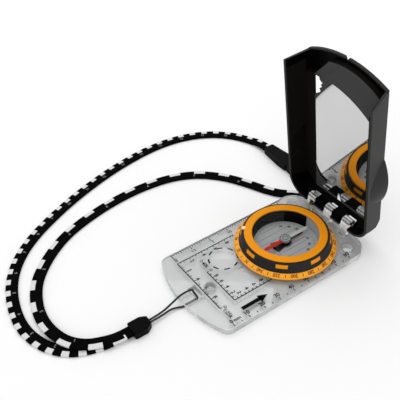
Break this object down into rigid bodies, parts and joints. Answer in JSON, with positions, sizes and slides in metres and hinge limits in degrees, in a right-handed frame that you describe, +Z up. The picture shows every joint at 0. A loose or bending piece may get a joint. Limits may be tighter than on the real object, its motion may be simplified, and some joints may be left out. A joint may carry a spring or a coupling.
{
  "type": "baseplate compass",
  "caption": "Sighting compass on a clear baseplate with a turning dial, folding mirror cover and flat neck lanyard.",
  "frame": {"origin": "centre of the compass footprint (lanyard left out) on the surface it rests on", "axes": "+Y from the lanyard end to the mirror hinge (direction of travel), +X across the plate to the millimetre edge, +Z up"},
  "size_m": [0.1619, 0.2054, 0.111],
  "materials": {
    "clear_plate": "clear acrylic, polished",
    "clear_silicone": "clear silicone, soft sheen",
    "felt_black": "matte",
    "clear_capsule": "clear, polished",
    "floor_white": "satin print",
    "band_black": "satin black",
    "orange_clear": "translucent orange",
    "grip_black": "satin rubber",
    "orange_solid": "satin orange",
    "luminous": "matte cream",
    "steel": "bright",
    "hub_grey": "satin grey",
    "needle_red": "satin red",
    "needle_white": "satin white",
    "magnet_steel": "dull",
    "cover_gloss": "gloss black",
    "carrier_grey": "matte dark grey",
    "mirror": "silvered",
    "webbing": "woven",
    "loop_cord": "braided",
    "buckle_black": "satin black"
  },
  "bodies": {
    "plate": {"baseplate": "clear_plate", "silicone_feet": "clear_silicone", "hinge_pin": "steel", "dial_friction_ring": "felt_black", "outer_webbing": "webbing", "inner_webbing": "webbing", "loop_cord": "loop_cord", "connector_lower": "buckle_black", "connector_upper": "buckle_black", "clasp_socket": "buckle_black", "clasp_plug": "buckle_black"},
    "dial": {"capsule_cup": "clear_capsule", "capsule_lid": "clear_capsule", "capsule_floor_disc": "floor_white", "clinometer_band": "band_black", "dial_retaining_ring": "band_black", "graduated_skirt": "orange_clear", "grip_ring": "grip_black", "dial_top_ring": "orange_solid", "luminous_dot": "luminous", "pivot_pin": "steel"},
    "needle": {"needle_hub": "hub_grey", "needle_red_half": "needle_red", "needle_white_half": "needle_white", "needle_magnet": "magnet_steel"},
    "clinometer": {"clinometer_pendulum": "band_black"},
    "cover": {"mirror_cover": "cover_gloss", "mirror_carrier": "carrier_grey", "mirror_plate": "mirror"}
  },
  "joints": [
    {"name": "cover_hinge", "type": "hinge", "parent": "plate", "child": "cover", "pos_m": [0, 0.04759, 0.0111], "axis": [1, 0, 0], "range_deg": [-81, 83]},
    {"name": "dial_turn", "type": "hinge", "parent": "plate", "child": "dial", "pos_m": [0, 0.0129, 0.003], "axis": [0, 0, 1], "continuous": true},
    {"name": "needle_swing", "type": "hinge", "parent": "dial", "child": "needle", "pos_m": [0, 0.0129, 0.007], "axis": [0, 0, 1], "continuous": true},
    {"name": "clinometer_swing", "type": "hinge", "parent": "dial", "child": "clinometer", "pos_m": [0, 0.0129, 0.005], "axis": [0, 0, 1], "continuous": true}
  ]
}
